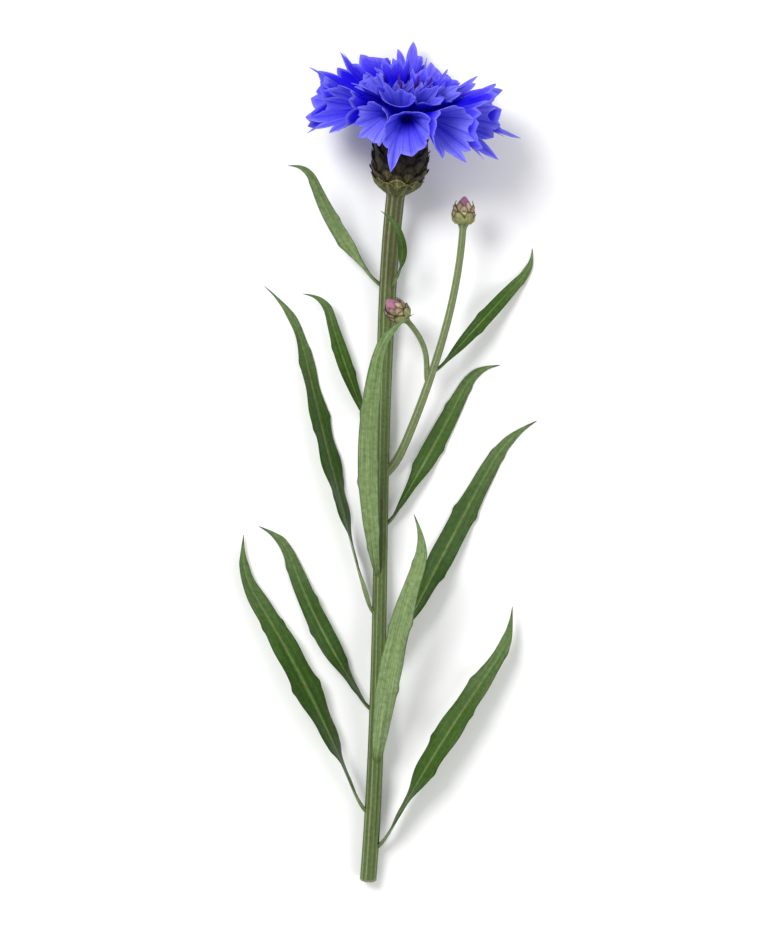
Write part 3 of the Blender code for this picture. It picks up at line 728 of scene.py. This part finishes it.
def egg_core(name, node, egg, top, placing, colours, material, slot):
    """The rounded middle of a head or a closed bud, showing between its scales."""
    shares = np.linspace(0.0, 1.0, EGG_ROWS)[:, None]
    turns = np.linspace(0.0, 2.0 * math.pi, EGG_SIDES, endpoint=False)[None, :]
    height = EGG_FOOT + (top - EGG_FOOT) * np.sin(shares * math.pi / 2.0) + 0.0 * turns
    radius = np.maximum(egg_radius(egg, height, egg["rows"]), LEAST_CORE)
    radius = radius * (1.0 - EGG_RIB_DEPTH * np.cos(turns * EGG_RIBS))
    radius = radius * np.sqrt(np.clip(1.0 - (height / (top + 0.01)) ** 6, 0.0, 1.0))
    grid = np.stack([radius * np.cos(turns), radius * np.sin(turns), height], -1)
    paint = mix(*colours, smooth((height - 0.3 * top) / (0.4 * top)))
    grain = np.stack([height, turns * 2.0 + 0.0 * height, 0.0 * height], -1)
    points, faces, paint, grain = solid(grid, paint, grain)
    piece(name, placed(placing, points), faces, paint, grain, material, node, slot)


# ---- Stems ----
def stalk(name, node, knots, radius, material, root=None):
    """A ribbed stem along a cubic curve; it widens into its crown and grows out of its root."""
    ribs, rows, crown, light = (STALKS[node][key] for key in ("ribs", "rows", "crown", "light"))
    chords = np.diff(bezier(knots, np.linspace(0.0, 1.0, LENGTH_STEPS)), axis=0)
    length = np.linalg.norm(chords, axis=1).sum()
    below = 0.0 if root is None else ROOT_REACH / length
    shares = np.linspace(-below, 1.0 + CROWN_REACH / length, rows)
    middles = bezier(knots, shares)
    aheads = unit(np.gradient(middles, axis=0))
    sides = unit(np.cross(aheads, UP))
    ups = np.cross(sides, aheads)
    swell = radius(np.clip(shares, 0.0, 1.0)) + 0.0 * shares
    swell = swell + (crown - swell) * smooth((shares - 1.0) * length / (2.0 * CROWN_REACH) + 0.5)
    if root is not None:
        near = np.exp(-(shares * length + ROOT_REACH) / ROOT_FADE)
        middles = middles + np.asarray(root) * near[:, None]
        swell = swell * (1.0 + ROOT_SWELL * near)
    around = POINTS_PER_RIB * ribs
    turns = np.linspace(0.0, 2.0 * math.pi, around, endpoint=False)
    ridge = np.cos(turns * ribs)
    swell = swell[:, None] * (1.0 + RIB_HEIGHT * ridge[None, :] - RIB_SINK)
    grid = (middles[:, None] + sides[:, None] * (swell * np.cos(turns))[..., None]
            + ups[:, None] * (swell * np.sin(turns))[..., None])
    along = shares[:, None] + 0.0 * turns
    brown = BROWN_SHARE * ease(along, BROWN_FROM, BROWN_FADE) * (1.0 - light)
    # The ridges are painted paler than the grooves: partly the stem's own pale ribs, partly a
    # painted highlight on the ridges.
    crest = smooth(ridge * 0.9 - 0.1) * (0.45 + 0.25 * np.sin(3.0 * turns + 1.0))
    pale_and_highlight = np.clip(crest + 0.25 * light + 0.0 * along, 0.0, 1.0)
    paint = mix(mix(STEM_GREEN, STEM_BROWN, brown), STEM_PALE_AND_HIGHLIGHT, pale_and_highlight)
    grain = np.stack([along * length, turns * 4.0 + 0.0 * along, 5.0 + 0.0 * along], -1)
    points, faces, paint, grain = solid(grid, paint, grain)
    paint[-2:] = PITH
    paint[:around] = mix(paint[:around], PITH, np.full(around, 0.35))
    piece(name, points, faces, paint, grain, material, node, "stem")


# ---- Leaves ----
def blade_path(start, ahead, spec, rows):
    """Points and directions along a blade that droops, sweeps and hooks as it goes."""
    heading = math.atan2(ahead[1], ahead[0])
    lift = math.asin(max(-1.0, min(1.0, ahead[2])))
    shares = (np.arange(1, rows) - 0.5) / (rows - 1)
    level = lift - math.radians(spec["bend"]) * shares
    facing = heading + math.radians(spec["sweep"]) * shares ** 1.5
    hooked = smooth((shares - HOOK_SHARE) / (1.0 - HOOK_SHARE))
    facing = facing + math.radians(spec["hook"]) * hooked
    flat = np.cos(level)
    ways = np.stack([flat * np.cos(facing), flat * np.sin(facing), np.sin(level)], -1)
    points = np.concatenate([[start], start + np.cumsum(ways * spec["length"] / (rows - 1), 0)])
    return points, np.concatenate([[ahead], ways])


def turned_about(vectors, axes, angles):
    """Vectors turned about axes that they are square to."""
    angles = angles[:, None]
    return vectors * np.cos(angles) + np.cross(axes, vectors) * np.sin(angles)


def blade_outline(shares):
    """The width of a blade along its length, without corners."""
    shifts = np.linspace(-OUTLINE_BLUR, OUTLINE_BLUR, BLUR_STEPS)
    weights = np.cos(shifts * math.pi / BLUR_SPAN) ** 2
    value = sum(weight * between(BLADE_OUTLINE, np.clip(shares + shift, 0.0, 1.0))
                for weight, shift in zip(weights, shifts)) / weights.sum()
    return value * (0.05 + 0.95 * np.clip((1.0 - shares) / POINT_FROM, 0.0, 1.0) ** 0.7)


def blade_paint(shares, spots, reach, tone):
    """Colours of a blade's upper and lower faces."""
    length = shares[:, None] + 0.0 * spots
    rib = bell(spots, RIB_WIDTH) * (1.0 - 0.6 * length)
    veins = VEIN_SHARE * bell(np.abs(spots) - VEIN_AT, VEIN_WIDTH) * (1.0 - length)
    upper = mix(LEAF_DARK, LEAF_MID, np.clip(0.35 + tone + 0.25 * length, 0.0, 1.0))
    upper = mix(upper, LEAF_UNDER, PALE_TIP * ease(length, 0.5, 0.45))
    upper = mix(upper, LEAF_RIB, np.clip(rib * 0.85 + veins, 0.0, 1.0))
    lower = mix(LEAF_UNDER, LEAF_MID, np.clip(0.12 - tone + 0.25 * length, 0.0, 1.0))
    lower = mix(lower, LEAF_RIB, np.clip(rib * 0.6 + 1.5 * veins, 0.0, 1.0))
    foot = np.exp(-reach / FOOT_REACH)[:, None] + 0.0 * length
    edge = DARK_EDGE * ease(np.abs(spots), 0.86, 0.14) + 0.0 * length
    paints = [mix(mix(side, LEAF_DARK, edge), STEM_GREEN, foot) for side in (upper, lower)]
    return [mix(side, LEAF_TIP, ease(length, TIP_FROM, TIP_FADE)) for side in paints]


def leaf(name, node, spec, knots, radius, material, seed):
    """A narrow leaf: dark above with a pale rib, woolly and pale below."""
    chance = np.random.default_rng(seed)
    here, ahead, side, up = frame_at(knots, spec["at"])
    turn, rise = math.radians(spec["side"]), math.radians(spec["rise"])
    outward = side * math.cos(turn) + up * math.sin(turn)
    stand_off = STAND_OFF + BLADE_WALL / 2.0
    start = here + outward * (radius + stand_off)
    points, ways = blade_path(start, ahead * math.cos(rise) + outward * math.sin(rise), spec,
                              BLADE_ROWS)
    shares = np.linspace(0.0, 1.0, BLADE_ROWS)
    spots = np.linspace(-1.0, 1.0, BLADE_COLUMNS)
    reach = shares * spec["length"]
    roll = math.atan2(-math.cos(turn), -math.sin(turn))
    roll = roll + math.radians(spec["twist"]) * smooth(shares / TWIST_SHARE)
    across = turned_about(unit(np.cross(ways, UP)), ways, roll)
    normal = np.cross(across, ways)
    outline = blade_outline(shares) * (1.0 - FOOT_TAPER * np.exp(-reach / FOOT_REACH))
    half = spec["width"] * outline / 2.0
    phase = np.where(spots < 0.0, *chance.uniform(0.0, 6.0, 2))
    teeth = np.maximum(0.0, np.sin(TOOTH_PACE * reach[:, None] + phase)) ** 12
    spread = half[:, None] * spots * (1.0 + TOOTH_SIZE * teeth * np.abs(spots) ** 6)
    wave = EDGE_WAVE * np.sin(WAVE_PACE * reach + chance.uniform(0.0, 6.0))
    wave = wave[:, None] * np.abs(spots) ** 3
    fold = BLADE_FOLD * np.abs(spots) ** 1.4 - EDGE_DROOP * np.abs(spots) ** 5
    groove = GROOVE * bell(spots, GROOVE_WIDTH) * np.minimum(half, 1.0)[:, None]
    rise_out = half[:, None] * (fold + wave * np.sign(spots)) - groove
    points = points - outward * ((stand_off + TUCK_DEPTH) * np.exp(-reach / TUCK_REACH))[:, None]
    grid = (points[:, None] + across[:, None] * spread[..., None]
            + normal[:, None] * rise_out[..., None])
    rib = bell(spots, RIB_WALL_WIDTH) * (1.0 - RIB_THINNING * shares[:, None])
    foot = bell(spots, FOOT_WALL_WIDTH) * np.exp(-reach / FOOT_WALL_REACH)[:, None]
    wall = (THIN_WALL + RIB_WALL * rib) * (0.55 + 0.45 * outline[:, None]) + FOOT_WALL * foot
    paints = blade_paint(shares, spots, reach, chance.uniform(*BLADE_TONES))
    grain = np.stack([reach[:, None] + 0.0 * spots, half[:, None] * spots,
                      np.full_like(spread, 11.0 * seed)], -1)
    grid = rest(grid)
    if np.einsum("ijk,ijk->", grid_normals(grid, False), normal[:, None] + 0.0 * grid) < 0.0:
        paints = paints[::-1]
    piece(name, *shell(grid, wall, False, paints, grain), material, node, "leaf")


# ---- Materials ----
def shader_node(tree, kind, **inputs):
    """A shader node with its inputs set by name."""
    made = tree.nodes.new(kind)
    for name, value in inputs.items():
        made.inputs[name.replace("_", " ")].default_value = value
    return made


def operation(tree, kind, work):
    """A maths node that does one kind of work."""
    made = tree.nodes.new(kind)
    made.operation = work
    return made


def painted(tree, name):
    """A node that reads what the mesh was painted with."""
    made = tree.nodes.new("ShaderNodeAttribute")
    made.attribute_name = name
    return made


def ranged(tree, source, limits, middle, swing):
    """The output of a node spread from some limits to a swing about a middle value."""
    made = shader_node(tree, "ShaderNodeMapRange", From_Min=limits[0], From_Max=limits[1],
                       To_Min=middle - swing, To_Max=middle + swing)
    tree.links.new(source, made.inputs["Value"])
    return made.outputs[0]


def plant_material(name, stretch, contrast, roughness, bump, fleck, sheen, inside, gloss):
    """A painted surface with streaks that run along its grain, flecks and fine relief."""
    material = bpy.data.materials.new(name)
    material.use_nodes = True
    tree = material.node_tree
    link = tree.links.new
    shader = tree.nodes["Principled BSDF"]
    scaled = operation(tree, "ShaderNodeVectorMath", "MULTIPLY")
    scaled.inputs[1].default_value = stretch
    link(painted(tree, "grain").outputs["Vector"], scaled.inputs[0])
    streaks = shader_node(tree, "ShaderNodeTexNoise", Scale=1.0, Detail=4.0, Roughness=0.62)
    link(scaled.outputs[0], streaks.inputs["Vector"])
    place = tree.nodes.new("ShaderNodeTexCoord")
    flecks = shader_node(tree, "ShaderNodeTexNoise", Scale=fleck[0], Detail=5.0, Roughness=0.6)
    link(place.outputs["Object"], flecks.inputs["Vector"])
    streak, spot = streaks.outputs["Fac"], flecks.outputs["Fac"]
    tone = operation(tree, "ShaderNodeMath", "MULTIPLY")
    link(ranged(tree, streak, STREAK_RANGE, 1.0, contrast), tone.inputs[0])
    link(ranged(tree, spot, NOISE_RANGE, 1.0, fleck[1]), tone.inputs[1])
    colour = operation(tree, "ShaderNodeVectorMath", "SCALE")
    link(painted(tree, "paint").outputs["Color"], colour.inputs[0])
    link(tone.outputs[0], colour.inputs["Scale"])
    link(colour.outputs[0], shader.inputs["Base Color"])
    relief = operation(tree, "ShaderNodeMath", "ADD")
    link(streak, relief.inputs[0])
    link(spot, relief.inputs[1])
    bumps = shader_node(tree, "ShaderNodeBump", Strength=bump[0], Distance=bump[1] * MM)
    link(relief.outputs[0], bumps.inputs["Height"])
    link(bumps.outputs[0], shader.inputs["Normal"])
    uneven = ranged(tree, streak, NOISE_RANGE, roughness, ROUGHNESS_SPREAD)
    link(uneven, shader.inputs["Roughness"])
    shader.inputs["Sheen Weight"].default_value = sheen[0]
    shader.inputs["Sheen Roughness"].default_value = SHEEN_ROUGHNESS
    shader.inputs["Sheen Tint"].default_value = sheen[1]
    shader.inputs["Specular IOR Level"].default_value = gloss
    shader.inputs["Subsurface Weight"].default_value = inside[0]
    shader.inputs["Subsurface Radius"].default_value = inside[1]
    shader.inputs["Subsurface Scale"].default_value = MM
    return material


def plain_material(name, colour, roughness):
    """A plain matt surface."""
    material = bpy.data.materials.new(name)
    material.use_nodes = True
    shader = material.node_tree.nodes["Principled BSDF"]
    shader.inputs["Base Color"].default_value = (*colour, 1.0)
    shader.inputs["Roughness"].default_value = roughness
    return material


# ---- Building ----
def plant():
    """Every piece of the flower."""
    looks = {name: plant_material(name, **look) for name, look in LOOKS.items()}
    knots = stem_knots()
    stalk("stem_skin", "stem", knots, stem_radius, looks["stem"])
    head = stand_on(knots[3], head_axis())
    egg_core("head_heart", "receptacle", HEAD_EGG, DISC_TOP - STAND_OFF, head,
             (BRACT_OLIVE, BRACT_BROWN), looks["bract"], "bract")
    bract_rows("head", "bracts", HEAD_EGG, head, HEAD_PALETTE, looks["bract"])
    florets(looks["petal"], looks["petal_heart"])
    for number, spec in enumerate(LEAVES, 1):
        leaf(f"blade_{number}", f"leaf_{number}", spec, knots, stem_radius(spec["at"]),
             looks["leaf"], number)
    side_shoot(knots, looks)


def side_shoot(knots, looks):
    """The shoot that forks from the stem, with its buds and leaf."""
    fork, _, side, _ = frame_at(knots, SHOOT_AT)
    start = fork + side * (stem_radius(SHOOT_AT) + SHOOT_RADIUS + STAND_OFF)
    shoot = [start] + [start + np.array(bend) for bend in SHOOT_BENDS]
    stalk("shoot_skin", "shoot_stem", shoot,
          lambda share: SHOOT_RADIUS * (1.0 - SHOOT_TAPER * share), looks["stem"], fork - start)
    leaf("shoot_blade", "shoot_leaf", SHOOT_LEAF, shoot, SHOOT_RADIUS, looks["leaf"],
         SHOOT_LEAF_SEED)
    bud("tip_bud", shoot, looks)
    joint, ahead, side, _ = frame_at(shoot, STALK_AT)
    base = joint - side * (SHOOT_RADIUS + STALK_RADIUS + STAND_OFF)
    short = [base, base + ahead * STALK_RISE[0], base + ahead * STALK_RISE[1] - side * STALK_LEAN,
             base + np.array(STALK_REACH)]
    stalk("stalk_skin", "bud_stalk", short, lambda share: STALK_RADIUS, looks["stem"], joint - base)
    bud("side_bud", short, looks)


def bud(name, knots, looks):
    """A closed bud in its scales, at the end of a stalk."""
    tip, ahead, _, _ = frame_at(knots, 1.0)
    placing = stand_on(tip, ahead)
    egg_core(f"{name}_heart", f"{name}_core", BUD_EGG, BUD_EGG["outline"][-1][0], placing,
             (BRACT_OLIVE, BUD_PINK), looks["bud_heart"], "bud")
    bract_rows(name, f"{name}_bracts", BUD_EGG, placing, BUD_PALETTE, looks["bract"])


def studio():
    """A pale floor, soft light and a camera looking straight down."""
    low, high = (np.array(corner) for corner in CAD_BOUNDS)
    middle = (low + high) / 2.0
    data = bpy.data.meshes.new("floor")
    data.from_pydata(FLOOR_CORNERS, [], [(0, 1, 2, 3)])
    data.materials.append(plain_material("floor", FLOOR_TONE, FLOOR_ROUGHNESS))
    floor = bpy.data.objects.new("floor", data)
    bpy.context.collection.objects.link(floor)
    floor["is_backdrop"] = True
    world = bpy.data.worlds.new("studio")
    world.use_nodes = True
    sky = world.node_tree.nodes["Background"]
    sky.inputs["Color"].default_value = (1.0, 1.0, 1.0, 1.0)
    sky.inputs["Strength"].default_value = AMBIENT
    bpy.context.scene.world = world
    target = Vector((middle[0] + LIGHT_AIM[0], middle[1] + LIGHT_AIM[1], LIGHT_AIM[2]))
    for name, place, size, power in LIGHTS:
        lamp = bpy.data.lights.new(name, "AREA")
        lamp.shape = "DISK"
        lamp.size = size
        lamp.energy = power
        thing = bpy.data.objects.new(name, lamp)
        thing.location = place
        thing.rotation_euler = (target - Vector(place)).to_track_quat("-Z", "Y").to_euler()
        bpy.context.collection.objects.link(thing)
    lens = bpy.data.cameras.new("camera")
    lens.lens = LENS
    camera = bpy.data.objects.new("camera", lens)
    camera.location = (middle[0], middle[1], high[2] * FOCUS_SHARE + VIEW_HEIGHT * LENS / SENSOR)
    bpy.context.collection.objects.link(camera)
    bpy.context.scene.camera = camera
    bpy.context.scene.view_settings.view_transform = "Standard"


plant()
studio()
bounds = [[list(map(float, corner)) for corner in box] for box in (CAD_BOUNDS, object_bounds())]
